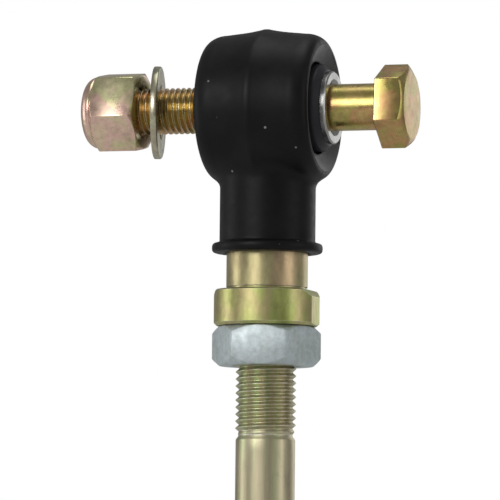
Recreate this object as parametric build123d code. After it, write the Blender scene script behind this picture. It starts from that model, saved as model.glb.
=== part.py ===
from build123d import *
import math
import os

# Tie rod end: a female ball-joint rod end in a rubber dust boot, on a threaded tie rod bar, with the
# bolt, washer and lock nut that fasten its ball to a steering arm.
# Millimetres. Origin at the ball's centre. +X along the bolt towards its head, +Z up. The bar runs to -Z.

# Running fits
FIT = 0.06  # radial clearance of a shaft in its hole, and of a thread's crest in its nut
TOUCH = 0.05  # gap left between flat faces of two bodies that bear on each other
PAST = 1.0  # how far a cutting solid runs on beyond the face it opens

# Hex bolt
BOLT_D = 10.0
BOLT_THREAD_D = 9.9
HEAD_AF = 15.8
HEAD_SEAT_X = 25.4
HEAD_K = 6.4
BOLT_TIP_X = -40.0
BOLT_THREAD_START_X = -8.0
HEAD_FACE_INSET = 0.9  # the flat end face is a circle this much inside the hexagon
HEAD_FILLET = 0.4
BOLT_TIP_CHAMFER = 0.9
THREAD_START_L = 0.2
HEAD_CORNER_DEG = 25.0  # how far the front corner of the head is turned below the horizontal

# Ball with extended necks
BALL_R = 10.0
NECK_GROOVE_R = 6.9
FLANGE_R = 7.8
FLANGE_X = 13.5
BALL_FACE_X = 14.7
BALL_BORE_CHAMFER = 1.05
FLANGE_CHAMFER = 0.3

# Liner and race halves, in the eye
LINER_T = 0.5
LINER_HALF_W = 4.4
RACE_HALF_W = 4.6
RACE_R = 11.8

# Rod end forging
EYE_R = 14.2
EYE_HALF_W = 6.6
EYE_LIP_R = 11.2
EYE_CHAMFER = 0.8
NECK_R = 8.7
NECK_TOP_Z = -10.0
GROOVE_Z = -38.3
GROOVE_H = 0.6
GROOVE_DEPTH = 0.4
COLLAR_R = 11.3
COLLAR_TOP_Z = -38.9
COLLAR_BOTTOM_Z = -46.6
COLLAR_CHAMFER = 0.6
FLAT_X = 10.9  # half the distance across the collar's two wrench flats
FLAT_BEVEL = 1.5
BODY_BORE_TOP_Z = -20.5
BODY_BORE_POINT = 2.5  # height of the drill point above the bore
BODY_BORE_CHAMFER = 1.0

# Dust boot
BOOT_RIM_X = 12.5
BOOT_RIM_R = 13.65
BOOT_SHOULDER_X = 10.2
BOOT_SHOULDER_R = 15.9
BOOT_CROWN_R = 17.2
BOOT_RIDGE_H = 0.4
BOOT_INNER_STEP = 0.6
BOOT_RIM_INNER_R = 13.0
BOOT_INNER_R = 14.25
SLEEVE_R = 10.25
SLEEVE_INNER_R = 8.75
BEAD_R = 11.85
BEAD_TOP_Z = -29.0
BEAD_BOTTOM_Z = -31.0
BEAD_CHAMFER = 0.6
SLEEVE_TOP_Z = -8.0
SLEEVE_HOLLOW_TOP_Z = -5.0
LIP_R = 8.8
LIP_IN_X = 10.9
LIP_OUT_X = 13.4
LIP_CHAMFER = 0.5

# Washer
WASHER_R = 10.0
WASHER_HOLE_R = 5.75
WASHER_T = 1.5
WASHER_X = -24.9
WASHER_DROP = -0.25
WASHER_TILT_DEG = 12.0
WASHER_CHAMFER = 0.15

# Lock nut and its nylon insert
NUT_AF = 16.0
NUT_SEAT_X = -28.1
NUT_END_X = -40.6
NUT_CROWN_R = 3.0
NUT_CHAMFER = 1.1
NUT_FACE_INSET = 0.2
NUT_CROWN_STEPS = 8
INSERT_R = 6.5
INSERT_IN_X = -37.1
INSERT_OUT_X = -39.5
NUT_MOUTH_R = 5.4
NUT_CORNER_DEG = 11.0

# Jam nut
JAM_AF = 20.5
JAM_TOP_Z = COLLAR_BOTTOM_Z - TOUCH
JAM_H = 8.5
JAM_CHAMFER = 1.0
JAM_FACE_INSET = 0.2
JAM_FLAT_DEG = 7.7  # how far the front flat is turned from -Y towards +X

# Tie rod bar
BAR_R = 6.35
BAR_THREAD_R = 6.45
BAR_TOP_Z = -23.0
BAR_THREAD_END_Z = -69.4
BAR_RELIEF_R = 6.0
BAR_RELIEF_H = 0.6
BAR_END_Z = -130.0
BAR_CHAMFER = 1.0

HEX_CORNER = 1 / math.cos(math.radians(30))
CHAMFER_SLOPE = math.tan(math.radians(30))  # of the cone that bevels a hexagon's corners


def turned_x(points):
    """A solid turned about X from (x, radius) points."""
    return revolve(make_face(Polyline(*points, close=True)), Axis.X, 360)


def turned_z(points):
    """A solid turned about Z from (radius, z) points."""
    return revolve(Plane.XZ * make_face(Polyline(*points, close=True)), Axis.Z, 360)


def rod_x(radius, start, end):
    """A round bar along X."""
    return turned_x([(start, 0), (end, 0), (end, radius), (start, radius)])


def rod_z(radius, bottom, top):
    """A round bar along Z."""
    return turned_z([(0, bottom), (radius, bottom), (radius, top), (0, top)])


def hex_x(across_flats, start, end, corner_deg):
    """A hexagonal bar along X, with a corner turned corner_deg below -Y."""
    face = RegularPolygon(across_flats / 2 * HEX_CORNER, 6)
    prism = extrude(Plane.YZ.offset(start) * Rot(0, 0, 180 + corner_deg) * face, end - start)
    return prism


def hex_z(across_flats, bottom, top, flat_deg):
    """A hexagonal bar along Z, with a flat turned flat_deg from -Y towards +X."""
    face = RegularPolygon(across_flats / 2 * HEX_CORNER, 6)
    return extrude(Plane.XY.offset(bottom) * Rot(0, 0, flat_deg) * face, top - bottom)


def tie_rod_bar():
    relief_top = BAR_THREAD_END_Z - (BAR_THREAD_R - BAR_RELIEF_R)
    relief_bottom = relief_top - BAR_RELIEF_H
    shank_top = relief_bottom - (BAR_R - BAR_RELIEF_R)
    return turned_z(
        [
            (0, BAR_TOP_Z),
            (BAR_THREAD_R - BAR_CHAMFER, BAR_TOP_Z),
            (BAR_THREAD_R, BAR_TOP_Z - BAR_CHAMFER),
            (BAR_THREAD_R, BAR_THREAD_END_Z),
            (BAR_RELIEF_R, relief_top),
            (BAR_RELIEF_R, relief_bottom),
            (BAR_R, shank_top),
            (BAR_R, BAR_END_Z + BAR_CHAMFER),
            (BAR_R - BAR_CHAMFER, BAR_END_Z),
            (0, BAR_END_Z),
        ]
    )


def jam_nut():
    bottom = JAM_TOP_Z - JAM_H
    corner_r = JAM_AF / 2 * HEX_CORNER
    face_r = JAM_AF / 2 - JAM_FACE_INSET
    drop = (corner_r - face_r) * CHAMFER_SLOPE
    cone = turned_z(
        [
            (0, bottom),
            (face_r, bottom),
            (corner_r, bottom + drop),
            (corner_r, JAM_TOP_Z - drop),
            (face_r, JAM_TOP_Z),
            (0, JAM_TOP_Z),
        ]
    )
    hole_r = BAR_THREAD_R + FIT
    hole = turned_z(
        [
            (0, bottom - PAST),
            (hole_r + JAM_CHAMFER + PAST, bottom - PAST),
            (hole_r, bottom + JAM_CHAMFER),
            (hole_r, JAM_TOP_Z - JAM_CHAMFER),
            (hole_r + JAM_CHAMFER + PAST, JAM_TOP_Z + PAST),
            (0, JAM_TOP_Z + PAST),
        ]
    )
    return (hex_z(JAM_AF, bottom, JAM_TOP_Z, JAM_FLAT_DEG) & cone) - hole


def wrench_collar():
    collar = turned_z(
        [
            (0, COLLAR_BOTTOM_Z),
            (COLLAR_R - COLLAR_CHAMFER, COLLAR_BOTTOM_Z),
            (COLLAR_R, COLLAR_BOTTOM_Z + COLLAR_CHAMFER),
            (COLLAR_R, COLLAR_TOP_Z - COLLAR_CHAMFER / 2),
            (COLLAR_R - COLLAR_CHAMFER / 2, COLLAR_TOP_Z),
            (0, COLLAR_TOP_Z),
        ]
    )
    half = [
        (0, COLLAR_BOTTOM_Z),
        (FLAT_X, COLLAR_BOTTOM_Z),
        (FLAT_X, COLLAR_TOP_Z - FLAT_BEVEL),
        (FLAT_X - FLAT_BEVEL, COLLAR_TOP_Z),
        (0, COLLAR_TOP_Z),
    ]
    outline = half + [(-x, z) for x, z in reversed(half[1:-1])]
    slab = extrude(Plane.XZ * make_face(Polyline(*outline, close=True)), COLLAR_R + PAST, both=True)
    return collar & slab


def rod_end_body():
    eye = rod_x(EYE_R, -EYE_HALF_W, EYE_HALF_W)
    eye = chamfer(eye.edges().filter_by(GeomType.CIRCLE), EYE_CHAMFER)
    neck = rod_z(NECK_R, COLLAR_TOP_Z, NECK_TOP_Z)
    body = eye + neck + wrench_collar()
    groove = rod_z(NECK_R + PAST, GROOVE_Z - GROOVE_H, GROOVE_Z)
    body -= groove - rod_z(NECK_R - GROOVE_DEPTH, GROOVE_Z - GROOVE_H, GROOVE_Z)
    seat = rod_x(RACE_R, -RACE_HALF_W, RACE_HALF_W)
    mouth = rod_x(EYE_LIP_R, -EYE_HALF_W - PAST, EYE_HALF_W + PAST)
    bore_r = BAR_THREAD_R + FIT
    bore = turned_z(
        [
            (0, COLLAR_BOTTOM_Z - PAST),
            (bore_r + BODY_BORE_CHAMFER + PAST, COLLAR_BOTTOM_Z - PAST),
            (bore_r, COLLAR_BOTTOM_Z + BODY_BORE_CHAMFER),
            (bore_r, BODY_BORE_TOP_Z),
            (0, BODY_BORE_TOP_Z + BODY_BORE_POINT),
        ]
    )
    return body - seat - mouth - bore


def race_half(side):
    """Half of the race, which the eye's rolled lips hold in place. The halves meet at the middle."""
    bore_r = BALL_R + LINER_T + 2 * FIT
    halfway = RACE_HALF_W / 2
    seat = ThreePointArc(
        (0, bore_r),
        (halfway, math.sqrt(bore_r**2 - halfway**2)),
        (RACE_HALF_W, math.sqrt(bore_r**2 - RACE_HALF_W**2)),
    )
    sides = Polyline(seat @ 1, (RACE_HALF_W, RACE_R), (0, RACE_R), seat @ 0)
    ring = revolve(make_face([seat, sides]), Axis.X, 360)
    return ring if side > 0 else mirror(ring, Plane.YZ)


def liner():
    shell = Sphere(BALL_R + LINER_T + FIT) - Sphere(BALL_R + FIT)
    return shell & rod_x(BALL_R + LINER_T + PAST, -LINER_HALF_W, LINER_HALF_W)


def ball():
    half = [
        (FLANGE_X, NECK_GROOVE_R),
        (FLANGE_X, FLANGE_R),
        (BALL_FACE_X - FLANGE_CHAMFER, FLANGE_R),
        (BALL_FACE_X, FLANGE_R - FLANGE_CHAMFER),
        (BALL_FACE_X, 0),
    ]
    mirrored = [(-x, r) for x, r in reversed(half)]
    necks = turned_x(half + mirrored)
    bore_r = BOLT_D / 2 + FIT
    flare = bore_r + BALL_BORE_CHAMFER
    bore = turned_x(
        [
            (-BALL_FACE_X - PAST, 0),
            (-BALL_FACE_X - PAST, flare + PAST),
            (-BALL_FACE_X + BALL_BORE_CHAMFER, bore_r),
            (BALL_FACE_X - BALL_BORE_CHAMFER, bore_r),
            (BALL_FACE_X + PAST, flare + PAST),
            (BALL_FACE_X + PAST, 0),
        ]
    )
    return Sphere(BALL_R) + necks - bore


def boot_shell():
    """The part of the boot that the eye and the neck carry: barrel, sleeve and bottom bead."""
    rim = [
        (BOOT_RIM_X, BOOT_RIM_R),
        (BOOT_SHOULDER_X, BOOT_SHOULDER_R),
        (BOOT_SHOULDER_X / 2, BOOT_CROWN_R - BOOT_RIDGE_H),
    ]
    outline = [(-x, r) for x, r in rim] + [(0, BOOT_CROWN_R)] + rim[::-1]
    barrel = turned_x([(-BOOT_RIM_X, 0)] + outline + [(BOOT_RIM_X, 0)])
    inside = [
        (BOOT_RIM_X, BOOT_RIM_INNER_R),
        (EYE_HALF_W + PAST, BOOT_INNER_R - BOOT_INNER_STEP),
        (EYE_HALF_W, BOOT_INNER_R),
    ]
    hollow = [(-x, r) for x, r in inside] + inside[::-1]
    past_rim = BOOT_RIM_X + PAST
    cavity = turned_x(
        [(-past_rim, 0), (-past_rim, BOOT_RIM_INNER_R)]
        + hollow
        + [(past_rim, BOOT_RIM_INNER_R), (past_rim, 0)]
    )
    sleeve = turned_z(
        [
            (0, BEAD_BOTTOM_Z),
            (BEAD_R - BEAD_CHAMFER, BEAD_BOTTOM_Z),
            (BEAD_R, BEAD_BOTTOM_Z + BEAD_CHAMFER),
            (BEAD_R, BEAD_TOP_Z - BEAD_CHAMFER),
            (BEAD_R - BEAD_CHAMFER, BEAD_TOP_Z),
            (SLEEVE_R, BEAD_TOP_Z),
            (SLEEVE_R, SLEEVE_TOP_Z),
            (0, SLEEVE_TOP_Z),
        ]
    )
    return barrel + sleeve - cavity - rod_z(SLEEVE_INNER_R, BEAD_BOTTOM_Z - PAST, SLEEVE_HOLLOW_TOP_Z)


def boot_lip(side):
    """The end lip of the boot that grips the groove in the ball's neck."""
    grip_r = NECK_GROOVE_R + TOUCH
    ring = turned_x(
        [
            (LIP_IN_X, grip_r),
            (LIP_IN_X, LIP_R - LIP_CHAMFER),
            (LIP_IN_X + LIP_CHAMFER, LIP_R),
            (LIP_OUT_X - LIP_CHAMFER, LIP_R),
            (LIP_OUT_X, LIP_R - LIP_CHAMFER),
            (LIP_OUT_X, grip_r),
        ]
    )
    return ring if side > 0 else mirror(ring, Plane.YZ)


def hex_bolt():
    corner_r = HEAD_AF / 2 * HEX_CORNER
    face_r = HEAD_AF / 2 - HEAD_FACE_INSET
    drop = (corner_r - face_r) * CHAMFER_SLOPE
    end = HEAD_SEAT_X + HEAD_K
    cone = turned_x(
        [
            (HEAD_SEAT_X, 0),
            (HEAD_SEAT_X, corner_r),
            (end - drop, corner_r),
            (end, face_r),
            (end, 0),
        ]
    )
    head = hex_x(HEAD_AF, HEAD_SEAT_X, end, HEAD_CORNER_DEG) & cone
    shank = turned_x(
        [
            (HEAD_SEAT_X, 0),
            (HEAD_SEAT_X, BOLT_D / 2 + HEAD_FILLET),
            (HEAD_SEAT_X - HEAD_FILLET, BOLT_D / 2),
            (BOLT_THREAD_START_X, BOLT_D / 2),
            (BOLT_THREAD_START_X - THREAD_START_L, BOLT_THREAD_D / 2),
            (BOLT_TIP_X + BOLT_TIP_CHAMFER, BOLT_THREAD_D / 2),
            (BOLT_TIP_X, BOLT_THREAD_D / 2 - BOLT_TIP_CHAMFER),
            (BOLT_TIP_X, 0),
        ]
    )
    return head + shank


def washer():
    ring = Cylinder(WASHER_R, WASHER_T) - Cylinder(WASHER_HOLE_R, WASHER_T + PAST)
    ring = chamfer(ring.edges().filter_by(GeomType.CIRCLE), WASHER_CHAMFER)
    return Pos(WASHER_X, 0, WASHER_DROP) * Rot(0, 0, WASHER_TILT_DEG) * Rot(0, 90, 0) * ring


def lock_nut():
    corner_r = NUT_AF / 2 * HEX_CORNER
    face_r = NUT_AF / 2 - NUT_FACE_INSET
    drop = (corner_r - face_r) * CHAMFER_SLOPE
    crown_x = NUT_END_X + NUT_CROWN_R
    crown_r = face_r - NUT_CROWN_R
    crown = []
    for i in range(1, NUT_CROWN_STEPS + 1):
        turn = math.radians(90 * i / NUT_CROWN_STEPS)
        crown.append((crown_x - NUT_CROWN_R * math.sin(turn), crown_r + NUT_CROWN_R * math.cos(turn)))
    hex_end = crown_x + drop
    profile = [
        (NUT_SEAT_X, 0),
        (NUT_SEAT_X, face_r),
        (NUT_SEAT_X - drop, corner_r),
        (hex_end, corner_r),
        (crown_x, face_r),
    ]
    cone = turned_x(profile + crown + [(NUT_END_X, 0)])
    bore_r = BOLT_THREAD_D / 2 + FIT
    hole = turned_x(
        [
            (NUT_SEAT_X + PAST, 0),
            (NUT_SEAT_X + PAST, bore_r + NUT_CHAMFER + PAST),
            (NUT_SEAT_X - NUT_CHAMFER, bore_r),
            (INSERT_IN_X, bore_r),
            (INSERT_IN_X, INSERT_R),
            (INSERT_OUT_X, INSERT_R),
            (INSERT_OUT_X, NUT_MOUTH_R),
            (NUT_END_X - PAST, NUT_MOUTH_R),
            (NUT_END_X - PAST, 0),
        ]
    )
    return (hex_x(NUT_AF, NUT_END_X, NUT_SEAT_X, NUT_CORNER_DEG) & cone) - hole


def nylon_insert():
    inner = BOLT_THREAD_D / 2 + FIT
    outer = INSERT_R - FIT
    return turned_x(
        [
            (INSERT_OUT_X + TOUCH, inner),
            (INSERT_OUT_X + TOUCH, outer),
            (INSERT_IN_X - TOUCH, outer),
            (INSERT_IN_X - TOUCH, inner),
        ]
    )


PARTS = {
    "tie_rod_bar": tie_rod_bar(),
    "jam_nut": jam_nut(),
    "rod_end_body": rod_end_body(),
    "race_half_head_side": race_half(1),
    "race_half_nut_side": race_half(-1),
    "liner": liner(),
    "ball": ball(),
    "boot_shell": boot_shell(),
    "boot_lip_head_side": boot_lip(1),
    "boot_lip_nut_side": boot_lip(-1),
    "hex_bolt": hex_bolt(),
    "washer": washer(),
    "lock_nut": lock_nut(),
    "nylon_insert": nylon_insert(),
}

os.makedirs("parts", exist_ok=True)
for name, solid in PARTS.items():
    export_step(solid, f"parts/{name}.step")
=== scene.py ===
import math

import bmesh
import bpy
import numpy as np
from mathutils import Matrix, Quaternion, Vector


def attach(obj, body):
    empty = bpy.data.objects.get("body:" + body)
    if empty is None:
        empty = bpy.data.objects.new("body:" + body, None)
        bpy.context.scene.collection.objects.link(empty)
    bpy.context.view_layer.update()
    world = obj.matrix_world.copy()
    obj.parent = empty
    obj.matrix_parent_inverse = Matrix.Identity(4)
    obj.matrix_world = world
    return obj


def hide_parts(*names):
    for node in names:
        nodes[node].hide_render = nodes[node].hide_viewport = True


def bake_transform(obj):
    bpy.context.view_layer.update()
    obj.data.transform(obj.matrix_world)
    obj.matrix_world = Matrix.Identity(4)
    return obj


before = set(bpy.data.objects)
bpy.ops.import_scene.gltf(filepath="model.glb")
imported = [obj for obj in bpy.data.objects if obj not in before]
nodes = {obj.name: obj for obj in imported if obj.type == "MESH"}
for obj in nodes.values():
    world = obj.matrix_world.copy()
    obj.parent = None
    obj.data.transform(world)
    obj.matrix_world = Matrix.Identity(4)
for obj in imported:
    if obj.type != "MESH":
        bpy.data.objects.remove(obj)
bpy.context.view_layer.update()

MM = 0.001

# ---------------------------------------------------------------------------
# Sizes in millimetres. Origin at the ball's centre, +X to the bolt's head, +Z up.
# AF is a hexagon's size across flats. CORNER_DEG is how far one of its corners lies below the front.
# ---------------------------------------------------------------------------
# Bolt
BOLT_R = 5.0
BOLT_PITCH = 1.25
BOLT_THREAD_DEPTH = 0.72
BOLT_THREAD_FROM = -8.0
BOLT_TIP = -40.0
BOLT_TIP_CHAMFER = 0.3
HEAD_AF = 15.8
HEAD_SEAT = 25.4
HEAD_END = 31.8
HEAD_FACE_INSET = 0.9
HEAD_FILLET = 0.4
HEAD_EDGE = 0.15
HEAD_CORNER_R = 0.35
HEAD_CORNER_DEG = 25.0

# Lock nut, with the hollow for its insert
NUT_AF = 16.0
NUT_SEAT = -28.1
NUT_END = -40.6
NUT_CORNER_R = 0.4
NUT_CORNER_DEG = 11.0
NUT_CROWN = 2.6
NUT_MOUTH_R = 5.4
NUT_MOUTH_DEPTH = 1.1
NUT_HOLLOW_R = 6.4
NUT_HOLLOW_DEPTH = 3.5

# Both nuts
NUT_FACE_INSET = 0.2
NUT_BORE_PLAY = 0.06
NUT_BORE_CHAMFER = 0.9

# Jam nut. FLAT_DEG is how far a flat is turned from the front to the right.
JAM_AF = 20.5
JAM_TOP = -46.65
JAM_BOTTOM = -55.15
JAM_CORNER_R = 0.5
JAM_FLAT_DEG = 7.7
JAM_SLOPE = 0.9

# Washer
WASHER_R = 10.0
WASHER_HOLE_R = 5.75
WASHER_HALF_T = 0.75
WASHER_ROLL_R = 0.4
WASHER_X = -24.9
WASHER_DROP = -0.25
WASHER_TILT_DEG = 12.0

# Tie rod bar
BAR_R = 6.35
BAR_THREAD_R = 6.45
BAR_PITCH = 1.5
BAR_THREAD_DEPTH = 0.70
BAR_TOP = -23.0
BAR_THREAD_END = -69.4
BAR_END = -130.0
BAR_END_CHAMFER = 1.0

# Dust boot. The rims are the edges of its two open ends.
CROWN_R = 16.45
CROWN_DROP = 0.5
SHOULDER_X = 8.6
RIM_X = 12.5
RIM_R = 13.65
RIM_INNER_R = 12.95
RIDGE_H = 0.6
RIDGE_W = 2.8
SEAM_H = 0.12
SEAM_W = 0.5
HOLLOW_R = 14.3
HOLLOW_X = 7.0
BORE_R = 8.95
BORE_TOP = -5.0
SLEEVE_R = 10.25
SLEEVE_TOP = -8.0
BEAD_R = 11.85
BEAD_INNER_R = 9.2
BEAD_TOP = -28.9
BEAD_BOTTOM = -31.0
BOOT_VOXEL = 0.42

TAN30 = math.tan(math.radians(30))
WELD = 2e-7  # metres
TINY = 1e-9


# ---------------------------------------------------------------------------
# Mesh helpers
# ---------------------------------------------------------------------------
def piece(name, verts, faces, body=None, sharp_deg=40):
    """A smooth-shaded mesh object from points in millimetres."""
    mesh = bpy.data.meshes.new(name)
    mesh.from_pydata((np.asarray(verts) * MM).tolist(), [], faces)
    bm = bmesh.new()
    bm.from_mesh(mesh)
    bmesh.ops.remove_doubles(bm, verts=bm.verts, dist=WELD)
    bmesh.ops.dissolve_degenerate(bm, edges=bm.edges, dist=WELD / 20)
    bmesh.ops.recalc_face_normals(bm, faces=bm.faces)
    bm.to_mesh(mesh)
    bm.free()
    mesh.shade_smooth()
    if sharp_deg:
        mesh.set_sharp_from_angle(angle=math.radians(sharp_deg))
    obj = bpy.data.objects.new(name, mesh)
    bpy.context.scene.collection.objects.link(obj)
    if body:
        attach(obj, body)
    return obj


def along_x(points):
    """Points made along Z, laid along X with the same hand."""
    points = np.asarray(points)
    return points[:, [2, 0, 1]]


def ring_faces(rings, count):
    """Quads between successive rings of count points each, and from the last ring to the first."""
    faces = []
    for i in range(rings):
        a, b = i * count, ((i + 1) % rings) * count
        for j in range(count):
            k = (j + 1) % count
            faces.append((a + j, a + k, b + k, b + j))
    return faces


def lathe(profile, steps=128):
    """A closed outline of (radius, along) points turned about Z."""
    turn = np.linspace(0, 2 * math.pi, steps, endpoint=False)
    points = []
    for radius, along in profile:
        ring = [radius * np.cos(turn), radius * np.sin(turn), np.full(steps, along)]
        points.append(np.stack(ring, 1))
    return np.concatenate(points), ring_faces(len(profile), steps)


def arc(centre_r, centre_z, radius, start_deg, end_deg, steps=8):
    """(radius, along) points on an arc of an outline."""
    out = []
    for i in range(steps + 1):
        t = math.radians(start_deg + (end_deg - start_deg) * i / steps)
        out.append((centre_r + radius * math.cos(t), centre_z + radius * math.sin(t)))
    return out


FRONT_DEG = 180  # the front's direction round a piece that along_x lays down


def hex_angles(corner_deg):
    """Angles round a hexagon with a corner at corner_deg, closer together near the corners."""
    away = [0.35, 0.8, 1.3, 2.0, 3.5, 6, 9, 13, 18, 24]
    one = sorted([-a for a in away] + [0] + away + [30])
    return np.radians([corner_deg + 60 * k + a for k in range(6) for a in one])


def hex_radius(angles, across_flats, corner_deg, rounding):
    """Distance from the axis to the hexagon's side, with corners of that radius."""
    inner = across_flats / 2
    off_corner = (np.degrees(angles) - corner_deg + 30) % 60 - 30
    centre = (inner - rounding) / math.cos(math.radians(30))
    tangent = 30 - math.degrees(math.atan((inner - rounding) * TAN30 / inner))
    flat = inner / np.cos(np.radians(30 - np.abs(off_corner)))
    sine = centre * np.sin(np.radians(off_corner))
    curve = centre * np.cos(np.radians(off_corner)) + np.sqrt(np.maximum(rounding**2 - sine**2, 0))
    return np.where(np.abs(off_corner) < tangent, curve, flat)


def hex_body(rows, angles):
    """A closed solid from rows of (radius, along), each a number or one value per angle."""
    points = []
    for radius, along in rows:
        radius = np.broadcast_to(radius, angles.shape)
        along = np.broadcast_to(along, angles.shape)
        points.append(np.stack([radius * np.cos(angles), radius * np.sin(angles), along], 1))
    return np.concatenate(points), ring_faces(len(rows), len(angles))


def chamfered(radius, face_r, face_z, sign, slope=TAN30, edge=0.12):
    """Rows of a hexagon's chamfered end: the flat face's edge, the cone and the hexagon's own edge."""
    drop = np.maximum(radius - face_r, 0) * slope
    soft = np.maximum(radius - edge, face_r)
    soft_drop = np.maximum(soft - face_r, 0) * slope
    return [
        (face_r - edge, face_z),
        (face_r + edge * 0.5, face_z + sign * edge * 0.5 * slope),
        (soft, face_z + sign * soft_drop),
        (radius, face_z + sign * (drop + edge)),
    ]


def helix(outer, pitch, depth, low, high, fade_low, fade_high, round_steps=72):
    """A right-hand threaded cylinder along Z. Rows of points follow the thread."""
    # One tooth: share of a pitch along the axis, share of the thread's depth.
    tooth = [(0.0, 1.0), (0.05, 0.985), (0.1, 0.85), (0.36, 0.2), (0.42, 0.05), (0.47, 0.0),
             (0.53, 0.0), (0.58, 0.05), (0.64, 0.2), (0.9, 0.85), (0.95, 0.985)]
    turns = int((high - low) / pitch) + 3
    columns = turns * round_steps
    share = np.array([t for t, _ in tooth] + [1.0])
    height = np.array([h for _, h in tooth] + [1.0])
    i = np.arange(columns + 1)
    angle = 2 * math.pi * i / round_steps
    along = low - 1.5 * pitch + pitch * (i[:, None] / round_steps + share[None, :])
    fade = np.clip((along - low) / fade_low, 0, 1) * np.clip((high - along) / fade_high, 0, 1)
    radius = outer - depth + depth * height[None, :] * fade
    along = np.clip(along, low, high)
    x = radius * np.cos(angle)[:, None]
    y = radius * np.sin(angle)[:, None]
    points = np.stack([x, y, along], 2).reshape(-1, 3)
    width = len(share)
    faces = []
    for c in range(columns):
        for r in range(width - 1):
            a, b = c * width + r, (c + 1) * width + r
            heights = points[[a, b, a + 1, b + 1], 2]
            past_end = heights.max() - low < TINY or high - heights.min() < TINY
            if not past_end:
                faces.append((a, b, b + 1, a + 1))
    return points, faces


def joined(*meshes):
    """Several (points, faces) as one."""
    points, faces, start = [], [], 0
    for p, f in meshes:
        points.append(np.asarray(p))
        faces += [tuple(v + start for v in face) for face in f]
        start += len(p)
    return np.concatenate(points), faces


# ---------------------------------------------------------------------------
# Materials
# ---------------------------------------------------------------------------
class Nodes:
    """Short calls for building one material's node tree."""

    def __init__(self, name):
        self.material = bpy.data.materials.new(name)
        self.material.use_nodes = True
        self.tree = self.material.node_tree
        self.shader = self.tree.nodes["Principled BSDF"]
        self.coords = self.tree.nodes.new("ShaderNodeTexCoord").outputs["Object"]

    def link(self, a, b):
        self.tree.links.new(a, b)

    def value(self, socket, source):
        if hasattr(source, "links"):
            self.link(source, socket)
        else:
            socket.default_value = source

    def scaled(self, x, y, z):
        node = self.tree.nodes.new("ShaderNodeMapping")
        node.inputs["Scale"].default_value = (x, y, z)
        self.link(self.coords, node.inputs["Vector"])
        return node.outputs["Vector"]

    def noise(self, scale, detail=3.0, rough=0.5, vector=None, distortion=0.0):
        node = self.tree.nodes.new("ShaderNodeTexNoise")
        node.inputs["Scale"].default_value = scale
        node.inputs["Detail"].default_value = detail
        node.inputs["Roughness"].default_value = rough
        node.inputs["Distortion"].default_value = distortion
        self.link(vector or self.coords, node.inputs["Vector"])
        return node.outputs["Fac"]

    def ramp(self, factor, stops):
        node = self.tree.nodes.new("ShaderNodeValToRGB")
        ramp = node.color_ramp
        while len(ramp.elements) < len(stops):
            ramp.elements.new(0.5)
        for element, (place, colour) in zip(ramp.elements, stops):
            element.position = place
            element.color = (*colour, 1) if len(colour) == 3 else colour
        self.link(factor, node.inputs["Fac"])
        return node.outputs["Color"]

    def grey(self, factor, stops):
        return self.ramp(factor, [(p, (v, v, v)) for p, v in stops])

    def mix(self, factor, a, b, mode="MIX"):
        node = self.tree.nodes.new("ShaderNodeMix")
        node.data_type = "RGBA"
        node.blend_type = mode
        self.value(node.inputs[0], factor)
        self.value(node.inputs[6], a)
        self.value(node.inputs[7], b)
        return node.outputs[2]

    def math(self, operation, a, b):
        node = self.tree.nodes.new("ShaderNodeMath")
        node.operation = operation
        self.value(node.inputs[0], a)
        self.value(node.inputs[1], b)
        return node.outputs[0]

    def axis(self, name):
        node = self.tree.nodes.new("ShaderNodeSeparateXYZ")
        self.link(self.coords, node.inputs[0])
        return node.outputs[name]

    def edges(self, radius_mm, low, high):
        """1 along sharp edges: where a rounded normal leaves the true one."""
        bevel = self.tree.nodes.new("ShaderNodeBevel")
        bevel.samples = 6
        bevel.inputs["Radius"].default_value = radius_mm * MM
        true = self.tree.nodes.new("ShaderNodeNewGeometry").outputs["Normal"]
        dot = self.tree.nodes.new("ShaderNodeVectorMath")
        dot.operation = "DOT_PRODUCT"
        self.link(bevel.outputs[0], dot.inputs[0])
        self.link(true, dot.inputs[1])
        return self.grey(dot.outputs["Value"], [(low, 1.0), (high, 0.0)])

    def bump(self, height, strength, distance, round_mm=0.0):
        node = self.tree.nodes.new("ShaderNodeBump")
        node.inputs["Strength"].default_value = strength
        node.inputs["Distance"].default_value = distance * MM
        self.link(height, node.inputs["Height"])
        if round_mm:
            bevel = self.tree.nodes.new("ShaderNodeBevel")
            bevel.samples = 4
            bevel.inputs["Radius"].default_value = round_mm * MM
            self.link(bevel.outputs[0], node.inputs["Normal"])
        self.link(node.outputs[0], self.shader.inputs["Normal"])

    def finish(self, colour, roughness, metallic=0.0, **sockets):
        self.value(self.shader.inputs["Base Color"], colour)
        self.value(self.shader.inputs["Roughness"], roughness)
        self.shader.inputs["Metallic"].default_value = metallic
        for name, number in sockets.items():
            self.shader.inputs[name.replace("_", " ")].default_value = number
        return self.material


EDGE_ROUND = 0.12  # millimetres by which metal edges look rounded


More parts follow.
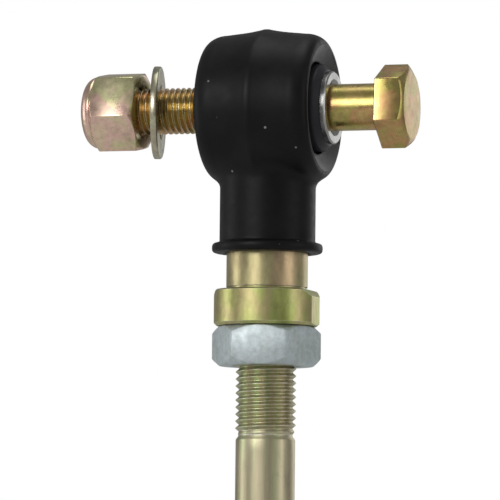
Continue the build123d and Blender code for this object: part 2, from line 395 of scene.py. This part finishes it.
def zinc(name, tints, rough=(0.22, 0.4), streak=(1, 1, 1), cloud=90, edge=(1.0, 1.0, 0.95), grime=0.35,
         upper=None, upper_from=0.0):
    """Zinc plate: drifting tints, fine grain along the streak direction, paler worn edges and grime.

    Above the height upper_from the tints are those of upper.
    """
    m = Nodes(name)
    warped = m.noise(cloud, 2.0, 0.55, m.scaled(*streak), 0.8)
    tint = m.ramp(warped, tints)
    if upper:
        above = m.math("GREATER_THAN", m.axis("Z"), upper_from * MM)
        tint = m.mix(above, tint, m.ramp(warped, upper))
    grain = m.noise(900, 4.0, 0.65, m.scaled(*streak))
    tint = m.mix(m.grey(grain, [(0.35, 0.0), (0.7, 0.28)]), tint, (0.25, 0.22, 0.16, 1), "MULTIPLY")
    stain = m.grey(m.noise(260, 5.0, 0.7), [(0.52, 0.0), (0.72, grime)])
    tint = m.mix(stain, tint, (0.16, 0.13, 0.08, 1))
    worn = m.math("MULTIPLY", m.edges(0.25, 0.93, 0.995), m.grey(m.noise(600, 3.0), [(0.3, 0.1), (0.7, 0.6)]))
    tint = m.mix(worn, tint, (*edge, 1))
    roughness = m.grey(m.noise(340, 4.0, 0.6, m.scaled(*streak)), [(0.3, rough[0]), (0.75, rough[1])])
    m.bump(grain, 0.25, 0.03, EDGE_ROUND)
    return m.finish(tint, roughness, 1.0)


def rubber(name, base, light, gloss=0.14):
    """Moulded black rubber: soft sheen, fine skin, faint bloom and a few specks of dust."""
    m = Nodes(name)
    bloom = m.grey(m.noise(120, 4.0, 0.6), [(0.4, 0.0), (0.75, 1.0)])
    colour = m.mix(bloom, (*base, 1), (*light, 1))
    voronoi = m.tree.nodes.new("ShaderNodeTexVoronoi")
    voronoi.inputs["Scale"].default_value = 330
    voronoi.inputs["Randomness"].default_value = 1.0
    m.link(m.coords, voronoi.inputs["Vector"])
    speck = m.grey(voronoi.outputs["Distance"], [(0.06, 1.0), (0.11, 0.0)])
    rare = m.grey(voronoi.outputs["Color"], [(0.66, 0.0), (0.67, 1.0)])
    dust = m.math("MULTIPLY", speck, rare)
    colour = m.mix(dust, colour, (0.22, 0.22, 0.20, 1))
    skin = m.noise(1400, 3.0, 0.6)
    roughness = m.grey(m.noise(500, 4.0, 0.6), [(0.3, 0.4), (0.75, 0.52)])
    worn = m.edges(0.2, 0.86, 0.98)
    colour = m.mix(m.math("MULTIPLY", worn, 0.35), colour, (0.12, 0.12, 0.12, 1))
    m.bump(skin, 0.12, 0.03)
    return m.finish(colour, roughness, 0.0, Specular_IOR_Level=gloss)


def plastic(name, low, high):
    """Plain plastic: a slightly mottled colour and a fine skin."""
    m = Nodes(name)
    colour = m.ramp(m.noise(300, 3.0), [(0.3, low), (0.7, high)])
    roughness = m.grey(m.noise(700, 3.0), [(0.3, 0.4), (0.7, 0.6)])
    m.bump(m.noise(1500, 3.0), 0.15, 0.02)
    return m.finish(colour, roughness)


mat_bolt = zinc("bolt_yellow_zinc",
                [(0.25, (0.40, 0.30, 0.10)), (0.40, (0.49, 0.37, 0.14)), (0.50, (0.53, 0.31, 0.14)),
                 (0.58, (0.42, 0.36, 0.11)), (0.75, (0.49, 0.36, 0.14))], cloud=75)
mat_nut = zinc("nut_yellow_zinc",
               [(0.25, (0.65, 0.50, 0.34)), (0.40, (0.75, 0.62, 0.41)), (0.50, (0.78, 0.52, 0.44)),
                (0.60, (0.65, 0.64, 0.34)), (0.75, (0.78, 0.65, 0.48))], cloud=85)
mat_body = zinc("body_yellow_zinc",
                [(0.25, (0.36, 0.38, 0.10)), (0.42, (0.46, 0.50, 0.17)), (0.52, (0.52, 0.45, 0.22)),
                 (0.62, (0.40, 0.50, 0.13)), (0.75, (0.52, 0.52, 0.20))], cloud=55, streak=(1, 1, 0.4),
                rough=(0.3, 0.45), upper=[(0.25, (0.46, 0.33, 0.18)), (0.45, (0.55, 0.42, 0.25)),
                (0.58, (0.47, 0.42, 0.22)), (0.75, (0.60, 0.43, 0.28))], upper_from=-38.6)
mat_bar = zinc("bar_olive_zinc",
               [(0.25, (0.42, 0.42, 0.24)), (0.42, (0.52, 0.53, 0.31)), (0.52, (0.54, 0.47, 0.32)),
                (0.62, (0.46, 0.51, 0.29)), (0.75, (0.58, 0.59, 0.38))], cloud=110, streak=(1, 1, 0.06),
               grime=0.25, rough=(0.32, 0.5))
mat_jam = zinc("jam_silver_zinc",
               [(0.25, (0.51, 0.57, 0.57)), (0.45, (0.60, 0.66, 0.68)), (0.6, (0.55, 0.62, 0.61)),
                (0.75, (0.63, 0.68, 0.70))], rough=(0.5, 0.66), cloud=120, edge=(0.84, 0.85, 0.87),
               grime=0.12)
mat_washer = zinc("washer_pale_zinc",
                  [(0.25, (0.34, 0.34, 0.23)), (0.45, (0.44, 0.44, 0.31)), (0.6, (0.44, 0.39, 0.29)),
                   (0.75, (0.52, 0.51, 0.39))], cloud=140, grime=0.2)
mat_ball = zinc("ball_bright_steel",
                [(0.25, (0.30, 0.30, 0.30)), (0.5, (0.38, 0.38, 0.37)), (0.75, (0.46, 0.46, 0.45))],
                rough=(0.2, 0.35), cloud=150, grime=0.15, edge=(0.75, 0.75, 0.74))
mat_race = zinc("race_ground_steel",
                [(0.25, (0.40, 0.40, 0.42)), (0.5, (0.50, 0.50, 0.52)), (0.75, (0.58, 0.58, 0.60))],
                cloud=150, grime=0.3)
mat_rubber = rubber("boot_black_rubber", (0.0035, 0.0035, 0.004), (0.007, 0.007, 0.0075))
# The bowl is the boot's own black rubber painted a paler grey: painted light standing in for the light the
# bowl catches from the right.
mat_bowl_painted_light = rubber("boot_bowl_painted_light", (0.055, 0.055, 0.052), (0.078, 0.078, 0.073), 0.25)
mat_lip = rubber("boot_lip_rubber", (0.016, 0.016, 0.019), (0.026, 0.026, 0.030), 0.2)
mat_liner = plastic("liner_pale_plastic", (0.62, 0.58, 0.48), (0.72, 0.69, 0.60))
mat_nylon = plastic("insert_blue_nylon", (0.10, 0.20, 0.45), (0.14, 0.27, 0.55))


def dress(obj, material):
    obj.data.materials.clear()
    obj.data.materials.append(material)


# ---------------------------------------------------------------------------
# Bolt
# ---------------------------------------------------------------------------
def head_mesh():
    """The bolt's head and its fillet to the shank, along Z."""
    corner = FRONT_DEG + HEAD_CORNER_DEG
    angles = hex_angles(corner)
    side = hex_radius(angles, HEAD_AF, corner, HEAD_CORNER_R)
    face_r = HEAD_AF / 2 - HEAD_FACE_INSET
    foot = HEAD_SEAT - HEAD_FILLET
    rows = [(BOLT_R, foot), (BOLT_R + 0.3 * HEAD_FILLET, HEAD_SEAT - 0.3 * HEAD_FILLET)]
    rows += [(BOLT_R + HEAD_FILLET, HEAD_SEAT), (HEAD_AF / 2 - HEAD_EDGE, HEAD_SEAT)]
    rows += [(side - HEAD_EDGE, HEAD_SEAT), (side, HEAD_SEAT + HEAD_EDGE)]
    rows += chamfered(side, face_r, HEAD_END, -1)[::-1]
    rows += [(face_r * 0.6, HEAD_END), (0.0, HEAD_END), (0.0, foot)]
    return hex_body(rows, angles)


def bolt_piece():
    root = BOLT_R - BOLT_THREAD_DEPTH
    foot = HEAD_SEAT - HEAD_FILLET
    shank_from = BOLT_THREAD_FROM + 0.3
    shank = lathe([(0, BOLT_THREAD_FROM - 1), (BOLT_R, shank_from), (BOLT_R, foot), (0, foot)], 96)
    thread = helix(BOLT_R, BOLT_PITCH, BOLT_THREAD_DEPTH, BOLT_TIP + 0.05, BOLT_THREAD_FROM + 0.35, 1.2, 1.5)
    core_end = BOLT_TIP + 2
    tip = lathe([(0, BOLT_TIP), (root - BOLT_TIP_CHAMFER, BOLT_TIP), (root, BOLT_TIP + BOLT_TIP_CHAMFER),
                 (root, core_end), (0, core_end)], 96)
    points, faces = joined(head_mesh(), shank, thread, tip)
    return piece("bolt", along_x(points), faces, "bolt")


bolt = bolt_piece()
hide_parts("hex_bolt")
dress(bolt, mat_bolt)


# ---------------------------------------------------------------------------
# Lock nut
# ---------------------------------------------------------------------------
def lock_nut_piece():
    corner = FRONT_DEG + NUT_CORNER_DEG
    angles = hex_angles(corner)
    side = hex_radius(angles, NUT_AF, corner, NUT_CORNER_R)
    face_r = NUT_AF / 2 - NUT_FACE_INSET
    crown_z = NUT_END + NUT_CROWN
    bore = BOLT_R + NUT_BORE_PLAY
    rows = [(bore, NUT_SEAT - 1.1), (bore + NUT_BORE_CHAMFER, NUT_SEAT)]
    rows += chamfered(side, face_r, NUT_SEAT, -1)
    rows += chamfered(side, face_r, crown_z, 1)[::-1][:3]
    # the crimped collar: a narrow groove under a rounded crown
    rows += [(face_r - 0.1, crown_z), (face_r - 0.22, crown_z - 0.1), (face_r - 0.06, crown_z - 0.3)]
    rows += arc(face_r - NUT_CROWN, crown_z, NUT_CROWN, -10, -90, 12)
    mouth_z = NUT_END + NUT_MOUTH_DEPTH
    hollow_z = NUT_END + NUT_HOLLOW_DEPTH
    rows += [(NUT_MOUTH_R + 0.15, NUT_END), (NUT_MOUTH_R, NUT_END + 0.2), (NUT_MOUTH_R, mouth_z)]
    rows += [(NUT_HOLLOW_R, mouth_z), (NUT_HOLLOW_R, hollow_z), (bore, hollow_z)]
    points, faces = hex_body(rows, angles)
    return piece("lock_nut_shaped", along_x(points), faces, "lock_nut")


nut = lock_nut_piece()
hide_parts("lock_nut")
dress(nut, mat_nut)


# ---------------------------------------------------------------------------
# Washer
# ---------------------------------------------------------------------------
def washer_piece():
    """A stamped washer: rolled over on one side's rims, sharp on the other's."""
    back = -WASHER_HALF_T
    roll = WASHER_ROLL_R
    hole_roll = WASHER_HALF_T - roll
    outline = [(WASHER_HOLE_R, back + 0.15), (WASHER_HOLE_R + 0.15, back)]
    outline += [(WASHER_R - 0.1, back), (WASHER_R, back + 0.1), (WASHER_R, WASHER_HALF_T - roll)]
    outline += arc(WASHER_R - roll, WASHER_HALF_T - roll, roll, 0, 90, 6)
    outline += arc(WASHER_HOLE_R + hole_roll, roll, hole_roll, 90, 180, 6)
    points, faces = lathe(outline, 160)
    points = along_x(points)
    t = math.radians(WASHER_TILT_DEG)
    turn = np.array([[math.cos(t), -math.sin(t), 0], [math.sin(t), math.cos(t), 0], [0, 0, 1]])
    points = points @ turn.T + np.array([WASHER_X, 0, WASHER_DROP])
    return piece("washer_shaped", points, faces, "washer", 50)


loose_washer = washer_piece()
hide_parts("washer")
dress(loose_washer, mat_washer)


# ---------------------------------------------------------------------------
# Jam nut
# ---------------------------------------------------------------------------
def jam_nut_piece():
    corner = -90 + JAM_FLAT_DEG + 30
    angles = hex_angles(corner)
    side = hex_radius(angles, JAM_AF, corner, JAM_CORNER_R)
    face_r = JAM_AF / 2 - NUT_FACE_INSET
    bore = BAR_THREAD_R + NUT_BORE_PLAY
    rows = [(bore, JAM_BOTTOM + 1.0), (bore + NUT_BORE_CHAMFER, JAM_BOTTOM)]
    rows += chamfered(side, face_r, JAM_BOTTOM, 1, JAM_SLOPE)
    rows += chamfered(side, face_r, JAM_TOP, -1, JAM_SLOPE)[::-1]
    rows += [(bore + NUT_BORE_CHAMFER, JAM_TOP), (bore, JAM_TOP - 1.0)]
    points, faces = hex_body(rows, angles)
    return piece("jam_nut_shaped", points, faces, "jam_nut")


jam = jam_nut_piece()
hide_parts("jam_nut")
dress(jam, mat_jam)


# ---------------------------------------------------------------------------
# Tie rod bar
# ---------------------------------------------------------------------------
def bar_piece():
    root = BAR_THREAD_R - BAR_THREAD_DEPTH
    thread_end = BAR_THREAD_END - 0.6
    thread = helix(BAR_THREAD_R, BAR_PITCH, BAR_THREAD_DEPTH, thread_end, BAR_TOP - 0.1, 1.4, 1.5, 96)
    core_end = BAR_TOP - 2
    top = lathe([(0, core_end), (root, core_end), (root, BAR_TOP - 0.4), (root - 0.4, BAR_TOP),
                 (0, BAR_TOP)], 96)
    shoulder = [(0, BAR_THREAD_END + 0.4), (root, BAR_THREAD_END + 0.4), (root + 0.05, BAR_THREAD_END - 0.7),
                (BAR_R - 0.08, BAR_THREAD_END - 1.35), (BAR_R, BAR_THREAD_END - 1.6)]
    plain = [(BAR_R, z) for z in np.linspace(BAR_THREAD_END - 4, BAR_END + 3, 24)]
    chamfer = BAR_END_CHAMFER
    end = [(BAR_R, BAR_END + chamfer + 0.05), (BAR_R - 0.08, BAR_END + chamfer - 0.1),
           (BAR_R - chamfer + 0.1, BAR_END + 0.08), (BAR_R - chamfer - 0.1, BAR_END), (0, BAR_END)]
    points, faces = joined(thread, top, lathe(shoulder + plain + end, 96))
    return piece("bar", points, faces, "bar")


bar = bar_piece()
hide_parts("tie_rod_bar")
dress(bar, mat_bar)


# ---------------------------------------------------------------------------
# Dust boot
# ---------------------------------------------------------------------------
def smooth_max(a, b, k):
    """The larger of a and b, rounded over a width k where they meet."""
    h = np.clip(0.5 + 0.5 * (a - b) / k, 0, 1)
    return b * (1 - h) + a * h + k * h * (1 - h)


def smooth_min(a, b, k):
    return -smooth_max(-a, -b, k)


def boot_outside(p):
    """Signed distance, near enough, to the boot's outer skin."""
    x, y, z = p[:, 0], p[:, 1], p[:, 2]
    from_bolt = np.hypot(y, z)
    from_bar = np.hypot(x, y)
    out = np.abs(x)
    # barrel: nearly straight across the middle, then a quarter ellipse down to the rim
    crown = CROWN_R - CROWN_DROP * np.clip(out / SHOULDER_X, 0, 1) ** 2
    t = np.clip((out - SHOULDER_X) / (RIM_X - SHOULDER_X), 0, 1)
    shoulder = RIM_R + (CROWN_R - CROWN_DROP - RIM_R) * np.sqrt(1 - t**2 + 0.002)
    ridge = RIDGE_H * np.exp(-np.abs(x / RIDGE_W) ** 1.6) + SEAM_H * np.exp(-((x / SEAM_W) ** 2))
    skin = np.where(out < SHOULDER_X, crown, shoulder) + ridge
    barrel = smooth_max(from_bolt - skin, out - RIM_X, 0.3)
    sleeve = smooth_max(from_bar - SLEEVE_R, BEAD_BOTTOM - z, 0.5)
    sleeve = smooth_max(sleeve, z - SLEEVE_TOP, 0.5)
    outer = smooth_min(barrel, sleeve, 1.7)
    half = (BEAD_TOP - BEAD_BOTTOM) / 2
    across = np.abs(z - (BEAD_TOP + BEAD_BOTTOM) / 2) - half
    bead = smooth_max(smooth_max(from_bar - BEAD_R, across, 0.9), BEAD_INNER_R - from_bar, 0.3)
    return smooth_min(outer, bead, 0.5)


def boot_inside(p):
    """Signed distance to the hollow for the eye and the neck."""
    x, y, z = p[:, 0], p[:, 1], p[:, 2]
    t = np.clip((np.abs(x) - HOLLOW_X) / (RIM_X - HOLLOW_X), 0, 1)
    wall = HOLLOW_R - (HOLLOW_R - RIM_INNER_R) * t
    bore = smooth_max(np.hypot(x, y) - BORE_R, z - BORE_TOP, 0.3)
    return smooth_min(np.hypot(y, z) - wall, bore, 0.3)


def boot_field(p):
    return smooth_max(boot_outside(p), -boot_inside(p), 0.35)


def settle(p, field, rounds=6, reach=0.6):
    """Moves points on to the surface where the field is 0."""
    step = 0.02
    for _ in range(rounds):
        value = field(p)
        slope = np.empty_like(p)
        for a in range(3):
            shift = np.zeros(3)
            shift[a] = step
            slope[:, a] = (field(p + shift) - field(p - shift)) / (2 * step)
        length = np.maximum((slope**2).sum(1), 0.05)
        move = -(value / length)[:, None] * slope
        size = np.linalg.norm(move, axis=1, keepdims=True)
        p = p + move * np.minimum(1, reach / np.maximum(size, TINY))
    return p


def boot_piece():
    """Barrel, sleeve and bead: remeshed from two rough tubes, then settled on the skin."""
    band = [(RIM_R, RIM_X), (15.6, 10.0), (16.6, 4.0), (16.6, -4.0), (15.6, -10.0), (RIM_R, -RIM_X),
            (RIM_INNER_R, -RIM_X), (14.0, -HOLLOW_X), (14.0, HOLLOW_X), (RIM_INNER_R, RIM_X)]
    barrel = lathe(band, 96)
    barrel = (along_x(barrel[0]), barrel[1])
    tube_top = 0.1 - HOLLOW_R
    tube = lathe([(SLEEVE_R, tube_top), (SLEEVE_R, BEAD_TOP), (BEAD_R, BEAD_TOP), (BEAD_R, BEAD_BOTTOM),
                  (BORE_R, BEAD_BOTTOM), (BORE_R, tube_top)], 96)
    points, faces = joined(barrel, tube)
    rough = piece("boot_rough", points, faces, None, 0)
    remesh = rough.modifiers.new("remesh", "REMESH")
    remesh.mode = "VOXEL"
    remesh.voxel_size = BOOT_VOXEL * MM
    evaluated = rough.evaluated_get(bpy.context.evaluated_depsgraph_get())
    mesh = bpy.data.meshes.new_from_object(evaluated)
    bpy.data.objects.remove(rough)
    co = np.empty(len(mesh.vertices) * 3)
    mesh.vertices.foreach_get("co", co)
    co = settle(co.reshape(-1, 3) / MM, boot_field)
    mesh.vertices.foreach_set("co", (co * MM).ravel())
    mesh.update()
    mesh.shade_smooth()
    obj = bpy.data.objects.new("boot", mesh)
    bpy.context.scene.collection.objects.link(obj)
    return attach(obj, "rod_end")


boot = boot_piece()
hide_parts("boot_shell")
dress(boot, mat_rubber)

# The recessed ends: a bowl, a lip that follows the ball, and a ring behind them that closes
# the gap which opens between bowl and lip when the ball tilts.
# Outlines are (radius, distance from the ball's centre).
BOWL_FACE = [(13.72, 12.1), (13.66, 12.45), (13.5, 12.58), (13.3, 12.5), (12.6, 12.2), (11.4, 11.62),
             (10.3, 11.08), (10.0, 10.95), (9.86, 10.82), (9.82, 10.6)]
BOWL_UNDER = [(9.95, 10.25), (10.6, 10.35), (11.6, 10.8), (12.6, 11.4), (13.2, 11.7)]
BACKING = [(13.3, 10.9), (12.4, 10.2), (11.2, 9.58), (10.2, 9.4), (9.0, 9.35), (9.0, 9.0), (10.4, 9.05),
           (11.6, 9.3), (12.8, 9.9), (13.6, 10.65)]
LIP = [(6.95, 8.95), (9.0, 8.95), (9.3, 9.5), (9.35, 11.9), (9.28, 12.2), (9.1, 12.42), (8.7, 12.85),
       (8.3, 13.25), (8.15, 13.42), (7.95, 13.47), (6.95, 13.4)]


def ring_piece(name, outline, side, body=None):
    points, faces = lathe(outline, 128)
    points = along_x(points)
    points[:, 0] *= side
    return piece(name, points, faces, body, 50)


def boot_end(side, label, node):
    bowl = ring_piece(f"boot_bowl_{label}", BOWL_FACE + BOWL_UNDER, side)
    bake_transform(bowl)
    backing = ring_piece(f"boot_backing_{label}", BACKING, side)
    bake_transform(backing)
    lip = ring_piece(f"boot_lip_{label}", LIP, side, "ball")
    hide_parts(node)
    # the bowl's paler rubber is painted light, not a different rubber
    dress(bowl, mat_bowl_painted_light)
    dress(backing, mat_rubber)
    dress(lip, mat_lip)


boot_end(1, "right", "boot_lip_head_side")
boot_end(-1, "left", "boot_lip_nut_side")

# ---------------------------------------------------------------------------
# CAD nodes that keep their shape
# ---------------------------------------------------------------------------
for name, material in (
    ("rod_end_body", mat_body),
    ("race_half_head_side", mat_race),
    ("race_half_nut_side", mat_race),
    ("liner", mat_liner),
    ("ball", mat_ball),
    ("nylon_insert", mat_nylon),
):
    obj = nodes[name]
    for i in range(len(obj.data.materials)):
        obj.data.materials[i] = material

# ---------------------------------------------------------------------------
# Floor, lights and camera
# ---------------------------------------------------------------------------
FLOOR_BELOW = 0.03
FLOOR_HALF = 6.0

# name, place, aimed at, width, height in metres, watts
LIGHTS = (
    ("key", (-0.22, -0.62, 0.22), (0, 0, -0.02), 0.32, 0.32, 2.2),
    ("back", (0.32, 0.85, 0.05), (0, 0, -0.02), 0.55, 0.75, 1.15),
    ("right", (0.70, -0.10, 0.10), (0, 0, -0.02), 0.30, 0.50, 0.7),
    ("left", (-0.60, -0.10, -0.05), (0, 0, -0.04), 0.20, 0.55, 0.8),
    ("top", (0.05, 0.05, 0.60), (0, 0, 0), 0.40, 0.40, 1.2),
)

CAMERA_AZIMUTH_DEG = 17.0
CAMERA_ELEVATION_DEG = -4.5
CAMERA_ROLL_DEG = 0.6
CAMERA_DISTANCE = 1.00
SENSOR_WIDTH = 36
VIEW_WIDTH = 106.838  # millimetres across the picture at the target
VIEW_CENTRE_Z = -30.3
VIEW_CENTRE_LEFT = 3.7


def floor_material():
    """Pale matt floor, paler still where the camera sees it."""
    m = Nodes("floor_pale")
    tone = m.ramp(m.noise(3, 2.0), [(0.3, (0.72, 0.72, 0.72)), (0.7, (0.76, 0.76, 0.76))])
    m.finish(tone, 0.9)
    glow = m.tree.nodes.new("ShaderNodeEmission")
    glow.inputs["Color"].default_value = (1, 1, 1, 1)
    glow.inputs["Strength"].default_value = 0.92
    camera_ray = m.tree.nodes.new("ShaderNodeLightPath").outputs["Is Camera Ray"]
    mixed = m.tree.nodes.new("ShaderNodeMixShader")
    m.link(m.math("MULTIPLY", camera_ray, 0.65), mixed.inputs[0])
    m.link(m.shader.outputs[0], mixed.inputs[1])
    m.link(glow.outputs[0], mixed.inputs[2])
    m.link(mixed.outputs[0], m.tree.nodes["Material Output"].inputs["Surface"])
    return m.material


def floor():
    mesh = bpy.data.meshes.new("floor")
    z = BAR_END * MM - FLOOR_BELOW
    s = FLOOR_HALF
    mesh.from_pydata([(-s, -s, z), (s, -s, z), (s, s, z), (-s, s, z)], [], [(0, 1, 2, 3)])
    mesh.materials.append(floor_material())
    obj = bpy.data.objects.new("floor", mesh)
    bpy.context.scene.collection.objects.link(obj)


def background(tree, colour, strength):
    node = tree.nodes.new("ShaderNodeBackground")
    node.inputs["Color"].default_value = colour
    node.inputs["Strength"].default_value = strength
    return node.outputs[0]


def surroundings():
    """Soft light from all round, and plain white where the camera looks past the part."""
    world = bpy.data.worlds.new("studio")
    bpy.context.scene.world = world
    world.use_nodes = True
    tree = world.node_tree
    seen = tree.nodes.new("ShaderNodeLightPath").outputs["Is Camera Ray"]
    mix = tree.nodes.new("ShaderNodeMixShader")
    tree.links.new(seen, mix.inputs[0])
    tree.links.new(background(tree, (0.97, 0.98, 1.0, 1), 0.30), mix.inputs[1])
    tree.links.new(background(tree, (1, 1, 1, 1), 1.0), mix.inputs[2])
    tree.links.new(mix.outputs[0], tree.nodes["World Output"].inputs[0])
    bpy.context.scene.view_settings.view_transform = "Standard"


def area(name, place, target, width, height, power):
    light = bpy.data.lights.new(name, "AREA")
    light.shape = "RECTANGLE"
    light.size = width
    light.size_y = height
    light.energy = power
    obj = bpy.data.objects.new(name, light)
    obj.location = place
    obj.rotation_euler = (Vector(target) - Vector(place)).to_track_quat("-Z", "Y").to_euler()
    bpy.context.scene.collection.objects.link(obj)


def camera():
    azimuth, elevation = math.radians(CAMERA_AZIMUTH_DEG), math.radians(CAMERA_ELEVATION_DEG)
    right = Vector((math.cos(azimuth), math.sin(azimuth), 0))
    level = Vector((math.sin(azimuth), -math.cos(azimuth), 0))
    back = level * math.cos(elevation) + Vector((0, 0, math.sin(elevation)))
    target = Vector((0, 0, VIEW_CENTRE_Z * MM)) - right * VIEW_CENTRE_LEFT * MM
    data = bpy.data.cameras.new("camera")
    data.sensor_width = SENSOR_WIDTH
    data.lens = SENSOR_WIDTH * CAMERA_DISTANCE / (VIEW_WIDTH * MM)
    data.clip_start = 0.01
    data.clip_end = 20
    obj = bpy.data.objects.new("camera", data)
    obj.location = target + back * CAMERA_DISTANCE
    roll = Quaternion((0, 0, 1), math.radians(CAMERA_ROLL_DEG))
    obj.rotation_euler = ((-back).to_track_quat("-Z", "Y") @ roll).to_euler()
    bpy.context.scene.collection.objects.link(obj)
    bpy.context.scene.camera = obj


floor()
surroundings()
for light in LIGHTS:
    area(*light)
camera()
